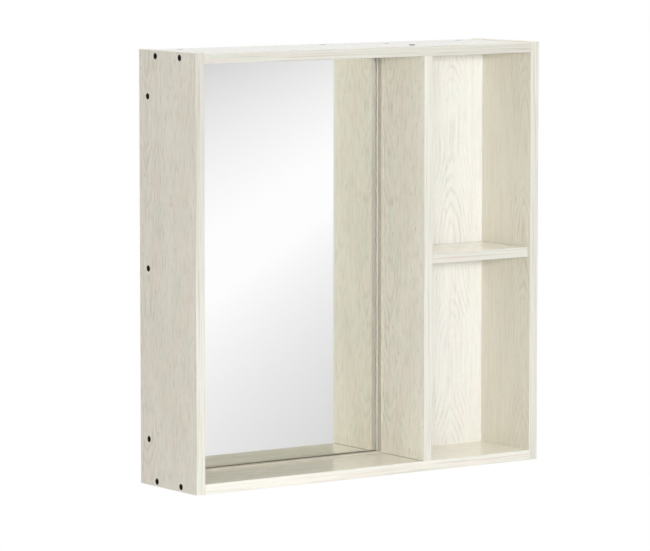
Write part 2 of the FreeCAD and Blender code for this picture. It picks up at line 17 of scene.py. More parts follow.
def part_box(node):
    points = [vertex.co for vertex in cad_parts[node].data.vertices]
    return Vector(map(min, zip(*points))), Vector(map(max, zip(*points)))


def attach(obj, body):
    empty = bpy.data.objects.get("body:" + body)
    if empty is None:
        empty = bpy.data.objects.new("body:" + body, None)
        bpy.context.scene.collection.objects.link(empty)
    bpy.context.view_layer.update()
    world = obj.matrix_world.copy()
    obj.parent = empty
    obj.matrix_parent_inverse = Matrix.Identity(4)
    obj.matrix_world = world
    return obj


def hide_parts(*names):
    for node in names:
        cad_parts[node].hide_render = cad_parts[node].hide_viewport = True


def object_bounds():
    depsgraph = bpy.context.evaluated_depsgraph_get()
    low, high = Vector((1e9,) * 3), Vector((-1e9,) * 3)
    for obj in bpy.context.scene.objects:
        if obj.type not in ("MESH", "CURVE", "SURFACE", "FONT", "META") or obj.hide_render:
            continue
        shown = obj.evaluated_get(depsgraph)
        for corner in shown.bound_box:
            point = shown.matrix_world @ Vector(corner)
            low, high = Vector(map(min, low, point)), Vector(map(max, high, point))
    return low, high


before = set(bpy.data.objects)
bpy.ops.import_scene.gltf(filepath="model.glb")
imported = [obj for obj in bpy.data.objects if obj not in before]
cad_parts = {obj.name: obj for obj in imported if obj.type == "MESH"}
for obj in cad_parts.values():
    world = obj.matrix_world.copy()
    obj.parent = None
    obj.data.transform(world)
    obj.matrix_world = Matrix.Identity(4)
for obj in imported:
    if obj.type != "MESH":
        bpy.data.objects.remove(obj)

MILLIMETRE = 0.001
cad_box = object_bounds()
scene = bpy.context.scene
cad_size = [round(side / MILLIMETRE) for side in cad_box[1] - cad_box[0]]
print("pieces:", len(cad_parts), "size in mm:", cad_size)

# %% [markdown]
# ## Shader maths as plain Python
# A finish is a tree of shader nodes. Wiring each node by hand hides the idea behind the plumbing, so
# one small class wraps the output of a node. Adding, multiplying or subtracting two of these wires
# adds the Math node that does it. The kinds of node that come back often have a method of their own,
# and every other kind comes from one method.


# %% Wires
class Wire:
    """One output of a shader node. Arithmetic on wires adds Math nodes to the same tree."""

    def __init__(self, tree, socket):
        self.tree = tree
        self.socket = socket

    def node(self, kind, inputs=None, settings=None, output=0):
        """Add a node of any kind, with the values or wires it takes in and its settings."""
        node = self.tree.nodes.new(kind)
        for name, value in (settings or {}).items():
            setattr(node, name, value)
        for name, value in (inputs or {}).items():
            if isinstance(value, Wire):
                self.tree.links.new(value.socket, node.inputs[name])
            else:
                node.inputs[name].default_value = value
        return Wire(self.tree, node.outputs[output] if node.outputs else None)

    def other(self, output):
        """Another output of the node that this wire leaves."""
        return Wire(self.tree, self.socket.node.outputs[output])

    def math(self, operation, first, second=0.0):
        return self.node("ShaderNodeMath", {0: first, 1: second}, {"operation": operation})

    def __add__(self, other):
        return self.math("ADD", self, other)

    __radd__ = __add__

    def __sub__(self, other):
        return self.math("SUBTRACT", self, other)

    def __rsub__(self, other):
        return self.math("SUBTRACT", other, self)

    def __mul__(self, other):
        return self.math("MULTIPLY", self, other)

    __rmul__ = __mul__

    def __truediv__(self, other):
        return self.math("DIVIDE", self, other)

    def __pow__(self, power):
        return self.math("POWER", self, power)

    def __abs__(self):
        return self.math("ABSOLUTE", self)

    def __lt__(self, limit):
        return self.math("LESS_THAN", self, limit)

    def __gt__(self, limit):
        return self.math("GREATER_THAN", self, limit)

    def at_least(self, limit):
        return self.math("MAXIMUM", self, limit)

    def at_most(self, limit):
        return self.math("MINIMUM", self, limit)

    def ramp(self, start, end, low=0.0, high=1.0):
        """Rise smoothly from low to high while this wire goes from start to end."""
        return self.node(
            "ShaderNodeMapRange",
            {"Value": self, "From Min": start, "From Max": end, "To Min": low, "To Max": high},
            {"interpolation_type": "SMOOTHSTEP"},
        )

    def tint(self, colour, other_colour):
        """The first colour where this wire is 0, the other colour where it is 1."""
        # A Mix node takes its colours at sockets 6 and 7 and gives the mixed colour at output 2.
        sockets = {0: self, 6: colour, 7: other_colour}
        return self.node("ShaderNodeMix", sockets, {"data_type": "RGBA"}, output=2)

    def blend(self, shader, other_shader):
        """The first shader where this wire is 0, the other shader where it is 1."""
        return self.node("ShaderNodeMixShader", {0: self, 1: shader, 2: other_shader})

    def axis(self, name):
        """One part of a place or a direction: X, Y or Z."""
        return self.node("ShaderNodeSeparateXYZ", {"Vector": self}).other(name)

    def noise(self, scale, detail):
        """Cloudy noise at this place."""
        return self.node("ShaderNodeTexNoise", {"Vector": self, "Scale": scale, "Detail": detail})

    def relief(self, strength, depth):
        """The bumped normal of a surface whose height is this wire."""
        return self.node("ShaderNodeBump", {"Strength": strength, "Distance": depth, "Height": self})


# %% [markdown]
# ## Starting and closing a finish
# Every finish starts as an empty material with one wire: the place of a point on the piece, in
# metres. Marks that follow this place need no unwrapped texture, and their size is in real units.
# Most finishes end in one general shader, so a second helper wires it up.


# %% Finishes
def new_finish(name):
    """An empty material, with the wire that tells where a point of the piece is, in metres."""
    material = bpy.data.materials.new(name)
    material.use_nodes = True
    material.node_tree.nodes.clear()
    coordinates = material.node_tree.nodes.new("ShaderNodeTexCoord")
    return material, Wire(material.node_tree, coordinates.outputs["Object"])


def close_finish(place, **inputs):
    """One shader with these inputs, wired to the material's output."""
    named = {key.replace("_", " ").title(): value for key, value in inputs.items()}
    named = {key.replace("Ior", "IOR"): value for key, value in named.items()}
    shader = place.node("ShaderNodeBsdfPrincipled", named)
    place.node("ShaderNodeOutputMaterial", {"Surface": shader})


def give(material, *names):
    """Put a finish on pieces of the measured model, by their names."""
    for name in names:
        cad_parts[name].material_slots[0].material = material
    print(material.name, "on", ", ".join(names))


# %% [markdown]
# ## Grain that follows a board
# Wood grain is noise that has been pulled out long in one direction. The helper below takes a board's
# length and width directions and gives a noise whose marks are so many millimetres wide and long.
# The third coordinate is a plain number, the seed, so that no two boards show the same print. Each
# kind of mark shifts it by its own amount, so that the kinds don't fall on top of each other.


# %% Stretched noise
def grain_noise(along, across, grain, seed, detail=2.0):
    """Noise for one kind of mark: its width and length in millimetres, and its shift of the seed."""
    width, length, shift = grain
    stretched = along.node(
        "ShaderNodeCombineXYZ",
        {
            "X": across / (width * MILLIMETRE),
            "Y": along / (length * MILLIMETRE),
            "Z": seed + shift,
        },
    )
    return stretched.noise(1.0, detail)


# %% [markdown]
# ## Bleached oak
# The print on the boards copies flat-sawn oak under a white wash. Flat-sawn oak shows pointed arches
# one above another along the board's heart, and their legs run out into fine straight lines beside
# it. One formula gives both: a height that falls away on both sides of the heart is cut into equal
# steps, and each step leaves a line. Oak's pores break these lines into short leaning strokes. Broad
# patches, rosy or greenish, lie under them, and the wash keeps every mark faint. On some boards it
# lies thicker, so the print comes in two strengths.
#
# A scanned picture of wood would do as well, but it repeats from board to board. So the marks are
# drawn by noise. Each kind of mark has a grain and two limits: the noise shows as no mark below the
# lower limit and as a full one above the upper limit.

# %% Marks
OAK_GRAIN = {
    "sway": (60, 200, 0.0),
    "unrest": (13, 60, 3.7),
    "strokes": (2.6, 15, 6.6),
    "presence": (36, 100, 9.1),
    "bands": (18, 150, 1.3),
    "patches": (28, 55, 5.9),
    "pores": (0.5, 12, 2.1),
    "streaks": (2.2, 90, 7.4),
    "dashes": (3.2, 24, 4.9),
    "flecks": (2.2, 13, 8.2),
}
OAK_LIMITS = {
    "strokes": (0.36, 0.64),
    "presence": (0.36, 0.60),
    "bands": (0.34, 0.68),
    "patches": (0.40, 0.60),
    "pores": (0.52, 0.72),
    "streaks": (0.46, 0.74),
    "dashes": (0.45, 0.75),
    "flecks": (0.64, 0.76),
}


def oak_marks(along, across, kind, seed, lowest=0.0):
    """Marks of one kind, from the lowest strength up to 1."""
    return grain_noise(along, across, OAK_GRAIN[kind], seed).ramp(*OAK_LIMITS[kind], lowest)


print("kinds of oak marks:", ", ".join(OAK_LIMITS))

# %% [markdown]
# The arches are the rings of the tree, cut lengthwise. The distance from the heart makes the height
# fall, a slow sine wave along the board crowds the lines and parts them again, and noise makes them
# unsteady. The fraction of the height, counted in steps, then runs from 0 to 1 between two lines.

# %% Arches
ARCH_REACH = 17.5 * MILLIMETRE
ARCH_BEND = 1.5
ARCH_FADE = 3.4
HEART_SWAY = 14 * MILLIMETRE
LINE_STEP = 40 * MILLIMETRE
LINE_CREST = 0.2
LINE_END = 0.6
SWELL_SHARE = 0.15
SWELL_START = 20 * MILLIMETRE
STROKE_LEAN = 0.08
STROKE_SHARE = 0.45
PRESENCE_SHARE = 0.85
NOISE_MIDDLE = 0.5


def oak_arches(along, across, cut, seed):
    """Lines from 0 to 1 that drop away beside the heart. They crowd at every swell, and loop between."""
    sway = grain_noise(along, across, OAK_GRAIN["sway"], seed, detail=1.0) - NOISE_MIDDLE
    beside = abs(across - cut["heart"] * MILLIMETRE + sway * HEART_SWAY)
    fall = (beside / ARCH_REACH) ** ARCH_BEND * (cut["drop"] * MILLIMETRE)
    wave = (along + SWELL_START) * (2 * pi / (cut["swell"] * MILLIMETRE))
    crowding = wave.math("SINE", wave) * (SWELL_SHARE * cut["swell"] * MILLIMETRE)
    unrest = grain_noise(along, across, OAK_GRAIN["unrest"], seed) - NOISE_MIDDLE
    ring = (along + crowding + fall) / LINE_STEP + unrest
    phase = ring.math("FRACT", ring)
    line = phase.ramp(0.0, LINE_CREST) * phase.ramp(LINE_CREST, LINE_END, 1.0, 0.0)
    strokes = oak_marks(along, across + along * STROKE_LEAN, "strokes", seed)
    presence = oak_marks(along, across, "presence", seed)
    near_heart = beside.ramp(ARCH_REACH, ARCH_FADE * ARCH_REACH, 1.0, 0.0)
    broken = (1 - STROKE_SHARE) + strokes * STROKE_SHARE
    here = (1 - PRESENCE_SHARE) + presence * PRESENCE_SHARE
    return line * broken * here * near_heart


print("oak lines in steps of", round(LINE_STEP / MILLIMETRE), "mm")

# %% [markdown]
# The layers are laid over one another as a printer would lay inks: the rosy and greenish ground, the
# pale bands, the lines, the pores and last the dark flecks. Pores and flecks are pressed in a little
# too. That is far too shallow for geometry, so it is left to a bump.

# %% Oak print
OAK_PALE = (0.880, 0.862, 0.790)
OAK_ROSE = (0.862, 0.816, 0.742)
OAK_SAGE = (0.835, 0.838, 0.752)
OAK_LINE = (0.500, 0.465, 0.385)
OAK_FLECK = (0.340, 0.300, 0.240)
BOLD = {"arches": 0.26, "streaks": 0.13, "dashes": 0.28, "flecks": 0.46, "pale": 0.0}
FAINT = {"arches": 0.30, "streaks": 0.17, "dashes": 0.10, "flecks": 0.20, "pale": 0.4}
FLECK_LEAN = 0.12
PORE_SHADE = 0.10
PORE_SHADE_IN_LINES = 0.3
PORE_DEPTH = 0.6
FLECK_DEPTH = 0.4
OAK_RELIEF = 0.12
PRINT_DEPTH = 0.2 * MILLIMETRE


def washed(colour, tone_and_light):
    """A colour under a wash, which scales its red, green and blue."""
    return tuple(part * share for part, share in zip(colour, tone_and_light)) + (1.0,)


def bleached_oak(name, cut, tone_and_light, seed, strength):
    """The print on a board: cut says along which axes its grain lies and where its arches centre."""
    material, place = new_finish(name)
    along = place.axis(cut["along"])
    across = place.axis(cut["across"])
    arches = oak_arches(along, across, cut, seed)
    patches = oak_marks(along, across, "patches", seed)
    bands = oak_marks(along, across, "bands", seed, strength["pale"])
    pores = oak_marks(along, across, "pores", seed)
    streaks = oak_marks(along, across, "streaks", seed)
    dashes = oak_marks(along, across, "dashes", seed)
    flecks = oak_marks(along, across + along * FLECK_LEAN, "flecks", seed)
    figure = arches * strength["arches"] + streaks * strength["streaks"] + dashes * strength["dashes"]
    pore_shade = pores * (PORE_SHADE + arches * PORE_SHADE_IN_LINES)
    colour = patches.tint(washed(OAK_ROSE, tone_and_light), washed(OAK_SAGE, tone_and_light))
    colour = bands.tint(colour, washed(OAK_PALE, tone_and_light))
    colour = figure.tint(colour, washed(OAK_LINE, tone_and_light))
    colour = pore_shade.tint(colour, washed(OAK_LINE, tone_and_light))
    colour = (flecks * strength["flecks"]).tint(colour, washed(OAK_FLECK, tone_and_light))
    height = 1 - pores * PORE_DEPTH - flecks * FLECK_DEPTH
    return material, place, colour, height.relief(OAK_RELIEF, PRINT_DEPTH), pores


print("strength of the bold print:", BOLD)
print("strength of the faint print:", FAINT)

# %% [markdown]
# ## The seven boards
# The rear edges were left as sawn, since they face the wall, so there the particle board under the
# print shows: pressed chips in browns. The edge could be a face with a material of its own, but the
# measured boards keep their mesh, so the direction a face points in tells the edge from the printed
# faces. Where the divider stands on the bottom panel a thin dark joint shows, and the finish draws it
# by its height.

# %% Rear edges and joint
CHIP_LIGHT = (0.560, 0.420, 0.260, 1.0)
CHIP_DARK = (0.250, 0.160, 0.085, 1.0)
CHIP_SCALE = 420.0
CHIP_DUST_SCALE = 900.0
CHIP_SHARE = 0.7
SAWN_ROUGHNESS = 0.9
FACING = 0.5
SEAM_DARK = (0.060, 0.050, 0.040, 1.0)
SEAM_WIDTH = 0.45 * MILLIMETRE
divider_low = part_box("divider_panel")[0]


def raw_edge(place, colour, roughness):
    """Chips of particle board on the face that points to the wall, the print elsewhere."""
    chips = place.node(
        "ShaderNodeTexVoronoi", {"Vector": place, "Scale": CHIP_SCALE, "Randomness": 1.0}, output="Color"
    )
    shade = chips.node("ShaderNodeSeparateColor", {"Color": chips}) * CHIP_SHARE
    dust = place.noise(CHIP_DUST_SCALE, 4.0) * (1 - CHIP_SHARE)
    chip_colour = (shade + dust).tint(CHIP_DARK, CHIP_LIGHT)
    sawn = place.other("Normal").axis("Y") > FACING
    return sawn.tint(colour, chip_colour), sawn * (SAWN_ROUGHNESS - roughness) + roughness


def foot_joint(place, colour):
    """A thin dark line where the divider stands on the bottom panel."""
    return (place.axis("Z") < divider_low.z + SEAM_WIDTH).tint(colour, SEAM_DARK)


print("divider stands at", round(divider_low.z / MILLIMETRE, 1), "mm")

# %% [markdown]
# Sides, divider and back stand with the grain upright. Top, bottom and shelf lie with the grain from
# left to right, and their print is polished more. The cut of a board says along which axes its grain
# lies, where its heart is, how far the arches drop and how long a swell is, in millimetres. A wash of
# its own gives each board its tone, and also paints in part of its light and shade: the divider, the
# back and the lying boards are washed lighter, the right side darker.

# %% Boards
MATT = {"roughness": 0.50, "level": 0.25}
POLISHED = {"roughness": 0.09, "level": 0.5}
PORE_ROUGHNESS = 0.08
LEFT_CUT = {"along": "Z", "across": "Y", "heart": -22, "drop": -55, "swell": 90}
RIGHT_CUT = {"along": "Z", "across": "Y", "heart": -135, "drop": 55, "swell": 170}
DIVIDER_CUT = {"along": "Z", "across": "Y", "heart": -64, "drop": -55, "swell": 85}
BACK_CUT = {"along": "Z", "across": "X", "heart": 238, "drop": 55, "swell": 180}
LYING_CUT = {"along": "X", "across": "Y", "heart": -80, "drop": 55, "swell": 150}


def board_finish(node, cut, gloss, strength, tone_and_light, seed):
    """Lay the print on a board, and bare its sawn edge or the joint at its foot."""
    material, place, colour, relief, pores = bleached_oak(node + "_print", cut, tone_and_light, seed, strength)
    roughness = gloss["roughness"] + pores * PORE_ROUGHNESS
    if node == "divider_panel":
        colour = foot_joint(place, colour)
    elif node != "back_panel":
        colour, roughness = raw_edge(place, colour, roughness)
    close_finish(
        place,
        base_color=colour,
        roughness=roughness,
        specular_ior_level=gloss["level"],
        normal=relief,
    )
    give(material, node)


# The washes are partly painted light: they lighten the divider, the back and the lying boards, and
# darken the right side.
board_finish("left_side_panel", LEFT_CUT, MATT, BOLD, tone_and_light=(0.98, 0.955, 0.91), seed=1.0)
board_finish("right_side_panel", RIGHT_CUT, MATT, FAINT, tone_and_light=(0.90, 0.885, 0.845), seed=12.0)
board_finish("divider_panel", DIVIDER_CUT, MATT, BOLD, tone_and_light=(1.085, 1.06, 1.015), seed=23.0)
board_finish("back_panel", BACK_CUT, MATT, FAINT, tone_and_light=(1.075, 1.09, 1.15), seed=34.0)
board_finish("top_panel", LYING_CUT, POLISHED, BOLD, tone_and_light=(1.07, 1.07, 1.06), seed=45.0)
board_finish("bottom_panel", LYING_CUT, POLISHED, BOLD, tone_and_light=(1.09, 1.07, 1.01), seed=56.0)
board_finish("shelf_panel", LYING_CUT, POLISHED, BOLD, tone_and_light=(1.11, 1.11, 1.09), seed=67.0)

# %% [markdown]
# ## Edge bands
# The cut edges that show carry a printed strip a millimetre thick. Its print is plainer than the
# boards': long straight streaks, with a rosy or a greenish cast here and there. Each strip is set a
# little lighter or darker, partly as its own tone and partly as painted light and shade: the top strip
# is darker, the bottom strip lighter, and the left strip darkens towards its top.

# %% Bands
BAND_PALE = (0.870, 0.850, 0.780, 1.0)
BAND_ROSE = (0.858, 0.800, 0.728, 1.0)
BAND_SAGE = (0.810, 0.825, 0.730, 1.0)
BAND_LINE = (0.560, 0.500, 0.410, 1.0)
BROAD_GRAIN = (5, 300, 0.0)
BROAD_LIMITS = (0.44, 0.62)
CAST_GRAIN = (4, 120, 2.2)
CAST_LIMITS = (0.42, 0.58)
FINE_GRAIN = (1.6, 130, 4.4)
FINE_LIMITS = (0.46, 0.70)
PORE_GRAIN = (0.5, 14, 6.1)
PORE_LIMITS = (0.58, 0.75)
FINE_SHADE = 0.45
BAND_PORE_SHADE = 0.15
BAND_ROUGHNESS = 0.36
FINE_ROUGHNESS = 0.1
BAND_RELIEF = 0.1


def band_finish(name, nodes, along_axis, across_axis, seed, level, end_tone_and_light=None):
    """A strip's print; its tone and painted light go from level to end_tone_and_light along the strip.
    """
    material, place = new_finish(name)
    along = place.axis(along_axis)
    across = place.axis(across_axis)
    broad = grain_noise(along, across, BROAD_GRAIN, seed).ramp(*BROAD_LIMITS)
    cast = grain_noise(along, across, CAST_GRAIN, seed).ramp(*CAST_LIMITS)
    fine = grain_noise(along, across, FINE_GRAIN, seed)
    pores = grain_noise(along, across, PORE_GRAIN, seed).ramp(*PORE_LIMITS)
    lines = fine.ramp(*FINE_LIMITS) * FINE_SHADE + pores * BAND_PORE_SHADE
    colour = broad.tint(cast.tint(BAND_ROSE, BAND_SAGE), BAND_PALE)
    colour = lines.tint(colour, BAND_LINE)
    low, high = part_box(nodes[0])
    axis = "XYZ".index(along_axis)
    # Painted light and shade: the level scales the whole print, and may change from one end to the
    # other.
    tone_and_painted_light = along.ramp(low[axis], high[axis], level, end_tone_and_light or level)
    colour = place.node("ShaderNodeVectorMath", {0: colour, "Scale": tone_and_painted_light}, {"operation": "SCALE"})
    close_finish(
        place,
        base_color=colour,
        roughness=BAND_ROUGHNESS + fine * FINE_ROUGHNESS,
        normal=(1 - pores).relief(BAND_RELIEF, PRINT_DEPTH),
    )
    give(material, *nodes)


end_bands = [f"{side}_side_{end}_band" for side in ("left", "right") for end in ("top", "bottom")]
left_band, right_band = ["left_side_front_band"], ["right_side_front_band"]
# The levels paint light and shade: the top strip is darker, the bottom strip lighter, and the left strip
# darkens towards its top.
band_finish("left_strip_print", left_band, "Z", "X", seed=3.0, level=0.97, end_tone_and_light=0.79)
band_finish("right_strip_print", right_band, "Z", "X", seed=8.0, level=0.93)
band_finish("divider_strip_print", ["divider_front_band"], "Z", "X", seed=17.0, level=0.96)
band_finish("top_strip_print", ["top_front_band"], "X", "Z", seed=21.0, level=0.83, end_tone_and_light=0.87)
band_finish("bottom_strip_print", ["bottom_front_band"], "X", "Z", seed=29.0, level=1.07, end_tone_and_light=1.03)
band_finish("shelf_strip_print", ["shelf_front_band"], "X", "Z", seed=37.0, level=0.93)
band_finish("end_strip_print", end_bands, "Y", "X", seed=41.0, level=1.0)

# %% [markdown]
# ## The mirror
# A mirror is a pane of float glass with a thin coat of silver on its back, so every reflection passes
# through the glass twice and the ground edges catch the light. The pane from the measured model gets
# clear glass, faintly green in its depth, and its rear face reflects as silver does. The ground
# edges, and a narrow border of the front at both sides, are frosted. They scatter light instead of
# bending it, so a dull white finish is mixed in there, by place. A quarter of it is translucent,
# since frosted glass also lets light through.

# %% Glass pane
GLASS_CLEAR = (1.0, 1.0, 1.0, 1.0)
GLASS_GREEN = (0.62, 0.93, 0.80, 1.0)
GLASS_DENSITY = 1.5
GLASS_BEND = 1.52
GROUND_FACING = 0.95
FROSTED = (0.99, 0.96, 0.87, 1.0)
FROST_GLOW = 0.25
ARRIS = 3.0 * MILLIMETRE
NEAR = 0.02 * MILLIMETRE
SILVER = (0.952, 0.955, 0.908, 1.0)

glass_low, glass_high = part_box("mirror_glass")
pane, place = new_finish("mirror_pane")
depth = place.axis("Y")
sideways = place.axis("X")
at_back = depth > glass_high.y - NEAR
at_side = (sideways < glass_low.x + ARRIS) + (sideways > glass_high.x - ARRIS)
arris = at_side * (depth < glass_low.y + NEAR)
ground = abs(place.other("Normal").axis("Y")) < GROUND_FACING
frosted = ground.at_least(arris)
clear = {"Base Color": GLASS_CLEAR, "Roughness": 0.0, "IOR": GLASS_BEND, "Transmission Weight": 1.0}
glass = place.node("ShaderNodeBsdfPrincipled", clear)
polished_silver = {"Base Color": SILVER, "Roughness": 0.0, "Metallic": 1.0}
silver = place.node("ShaderNodeBsdfPrincipled", polished_silver)
dull = place.node("ShaderNodeBsdfDiffuse", {"Color": FROSTED})
lit_through = place.node("ShaderNodeBsdfTranslucent", {"Color": FROSTED})
frost = place.node("ShaderNodeMixShader", {0: FROST_GLOW, 1: dull, 2: lit_through})
pane_shader = at_back.blend(frosted.blend(glass, frost), silver)
tint = place.node("ShaderNodeVolumeAbsorption", {"Color": GLASS_GREEN, "Density": GLASS_DENSITY})
place.node("ShaderNodeOutputMaterial", {"Surface": pane_shader, "Volume": tint})
give(pane, "mirror_glass")

# %% [markdown]
# Behind the pane lies the coat itself. In the measured model the two touch, and a ray that leaves the
# glass would be caught between them. So the coat is modelled anew with a gap of a few hundredths of a
# millimetre: a flat sheet, extruded to its thickness.

# %% Silver coat
COAT_GAP = 0.03 * MILLIMETRE
coat_low, coat_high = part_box("mirror_silvering")
coat_size = coat_high - coat_low
coat_middle = (coat_low + coat_high) / 2


def deselect_all():
    bpy.ops.object.select_all(action="DESELECT")


deselect_all()
bpy.ops.mesh.primitive_plane_add(
    size=1, location=(coat_middle.x, coat_low.y + COAT_GAP, coat_middle.z), rotation=(pi / 2, 0, 0)
)
mirror_backing = bpy.context.object
mirror_backing.name = "mirror_backing"
mirror_backing.scale = (coat_size.x, coat_size.z, 1)
bpy.ops.object.transform_apply(location=True, rotation=True, scale=True)
bpy.ops.object.mode_set(mode="EDIT")
bpy.ops.mesh.select_all(action="SELECT")
bpy.ops.mesh.extrude_region_move(
    TRANSFORM_OT_translate={"value": (0, coat_size.y - COAT_GAP, 0)}
)
bpy.ops.mesh.select_all(action="SELECT")
bpy.ops.mesh.normals_make_consistent(inside=False)
bpy.ops.object.mode_set(mode="OBJECT")
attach(mirror_backing, "carcass")
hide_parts("mirror_silvering")
print("mirror backing", round(coat_size.x / MILLIMETRE), "x", round(coat_size.z / MILLIMETRE), "mm")

# %% [markdown]
# The front of the coat is bare silver. Its back is covered with grey protective paint, which is dull
# and a little mottled. The depth of a point tells one from the other. The foam tape behind it, which
# holds the mirror to the back panel, is full of tiny cells.

# %% Silver, paint and foam
PAINT_GREY = (0.200, 0.205, 0.210, 1.0)
PAINT_PALE = (0.270, 0.275, 0.280, 1.0)
PAINT_ROUGHNESS = 0.55
PAINT_SCALE = 60.0
PAINT_LIMITS = (0.4, 0.6)
SILVER_DEPTH = coat_low.y + 1.5 * COAT_GAP
FOAM_DARK = (0.70, 0.70, 0.68, 1.0)
FOAM_PALE = (0.88, 0.88, 0.86, 1.0)
FOAM_SCALE = 1800.0
FOAM_LIMITS = (0.0, 0.6)
FOAM_ROUGHNESS = 0.9
FOAM_RELIEF = 0.4
FOAM_DEPTH = 0.2 * MILLIMETRE

coat, place = new_finish("mirror_coat")
paint = place.noise(PAINT_SCALE, 3.0).ramp(*PAINT_LIMITS).tint(PAINT_GREY, PAINT_PALE)
painted = place.axis("Y") > SILVER_DEPTH
close_finish(
    place,
    base_color=painted.tint(SILVER, paint),
    metallic=1 - painted,
    roughness=painted * PAINT_ROUGHNESS,
)
mirror_backing.data.materials.append(coat)

foam, place = new_finish("foam_tape")
cells = place.node("ShaderNodeTexVoronoi", {"Vector": place, "Scale": FOAM_SCALE})
close_finish(
    place,
    base_color=cells.ramp(*FOAM_LIMITS).tint(FOAM_DARK, FOAM_PALE),
    roughness=FOAM_ROUGHNESS,
    normal=cells.relief(FOAM_RELIEF, FOAM_DEPTH),
)
give(foam, "mirror_tape_strips")

# %% [markdown]
# ## Beads round the glass
# The slim beads in front of the glass are drawn plastic, a shade darker than the boards, with fine
# marks along them. Towards the corner where they meet the glass they are darkened: painted shade.

# %% Bead plastic
BEAD_CORNER_SHADE = (0.520, 0.480, 0.390, 1.0)
BEAD_DARK = (0.580, 0.545, 0.460, 1.0)
BEAD_PALE = (0.660, 0.625, 0.535, 1.0)
BEAD_STRETCH = (40.0, 900.0, 40.0)
BEAD_ROUGHNESS = 0.35
MARK_ROUGHNESS = 0.15
MARK_LIMITS = (0.35, 0.65)
CORNER_SHADE_EDGE = 2.4 * MILLIMETRE
CORNER_SHADE_FULL = 1.2 * MILLIMETRE

bead, place = new_finish("bead_plastic")
draw_marks = place.node("ShaderNodeMapping", {"Vector": place, "Scale": BEAD_STRETCH}).noise(1.0, 3.0)
# Painted shade: the bead darkens towards the glass, in the corner between the two.
corner_shade = place.axis("Y").ramp(glass_low.y - CORNER_SHADE_EDGE, glass_low.y - CORNER_SHADE_FULL)
bead_colour = draw_marks.ramp(*MARK_LIMITS).tint(BEAD_DARK, BEAD_PALE)
close_finish(
    place,
    base_color=corner_shade.tint(bead_colour, BEAD_CORNER_SHADE),
    roughness=BEAD_ROUGHNESS + draw_marks * MARK_ROUGHNESS,
)
give(bead, "mirror_bottom_bead", "mirror_top_bead")

# %% [markdown]
# The two upright beads are cut away at the back where they meet the glass, so that its frosted edge
# catches some light and shows as a bright thread. Each starts as a cube at the bead's own size and
# place. Its rear edge towards the glass is bevelled wide and flat, and its front edges get a narrow
# round bevel.

# %% Upright beads
UNDERCUT = 2.2 * MILLIMETRE
BEAD_ROUND = 0.4 * MILLIMETRE


def bevel_upright(piece, wanted, width, segments):
    """Bevel those upright edges of a piece whose middle is in the wanted place."""
    mesh = bmesh.from_edit_mesh(piece.data)
    for edge in mesh.edges:
        start, end = edge.verts
        middle = (start.co + end.co) / 2
        upright = abs(start.co.z - end.co.z) > abs(start.co.y - end.co.y) + abs(start.co.x - end.co.x)
        edge.select_set(upright and wanted(middle))
    bmesh.update_edit_mesh(piece.data)
    bpy.ops.mesh.bevel(offset=width, segments=segments, affect="EDGES")
    bpy.ops.mesh.select_all(action="DESELECT")


def upright_bead(side, glass_side):
    """A bead that replaces the plain one; glass_side is the sign of X that points to the glass."""
    low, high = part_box(f"mirror_{side}_bead")
    middle = (low + high) / 2
    deselect_all()
    bpy.ops.mesh.primitive_cube_add(size=1, location=middle)
    piece = bpy.context.object
    piece.name = f"{side}_glazing_bead"
    piece.scale = high - low
    bpy.ops.object.transform_apply(location=True, rotation=True, scale=True)
    bpy.ops.object.mode_set(mode="EDIT")
    bpy.ops.mesh.select_mode(type="EDGE")
    bevel_upright(piece, lambda at: at.y > middle.y and (at.x - middle.x) * glass_side > 0, UNDERCUT, 1)
    bevel_upright(piece, lambda at: at.y < low.y + UNDERCUT, BEAD_ROUND, 3)
    bpy.ops.object.mode_set(mode="OBJECT")
    piece.data.materials.append(bead)
    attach(piece, "carcass")
    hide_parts(f"mirror_{side}_bead")
    print(piece.name, len(piece.data.polygons), "faces")


upright_bead("left", 1)
upright_bead("right", -1)

# %% [markdown]
# ## Bare metal
# The hanger plates and their screws are zinc-plated, dull and a little cloudy. The shelf pins are
# nickel-plated and brighter. Fine rolling marks run along the sheet, and a slow noise clouds the
# gloss. The connecting screws are blackened: almost black, with worn spots that shine a little.

# %% Metals
ZINC_DARK = (0.52, 0.53, 0.54, 1.0)
ZINC_BRIGHT = (0.70, 0.71, 0.72, 1.0)
NICKEL_DARK = (0.62, 0.60, 0.57, 1.0)
NICKEL_BRIGHT = (0.74, 0.72, 0.69, 1.0)
BLACK_DARK = (0.006, 0.005, 0.004, 1.0)
BLACK_WORN = (0.028, 0.024, 0.020, 1.0)
ZINC_STRETCH = (2500.0, 2500.0, 120.0)
NICKEL_STRETCH = (900.0, 4000.0, 4000.0)
BLACK_STRETCH = (1500.0, 1500.0, 1500.0)
CLOUD_SCALE = 140.0
CLOUD_SHARE = 0.6
CLOUD_ROUGHNESS = 0.15
METAL_RELIEF = 0.08
METAL_DEPTH = 0.1 * MILLIMETRE


def metal_finish(name, dark, bright, metallic, roughness, stretch, level=0.5):
    """A metal whose colour and gloss cloud slowly, with marks that follow the three stretches."""
    material, place = new_finish(name)
    cloud = place.noise(CLOUD_SCALE, 5.0)
    marks = place.node("ShaderNodeMapping", {"Vector": place, "Scale": stretch}).noise(1.0, 3.0)
    shade = cloud * CLOUD_SHARE + marks * (1 - CLOUD_SHARE)
    close_finish(
        place,
        base_color=shade.ramp(*MARK_LIMITS).tint(dark, bright),
        metallic=metallic,
        roughness=roughness + cloud * CLOUD_ROUGHNESS,
        specular_ior_level=level,
        normal=marks.relief(METAL_RELIEF, METAL_DEPTH),
    )
    return material


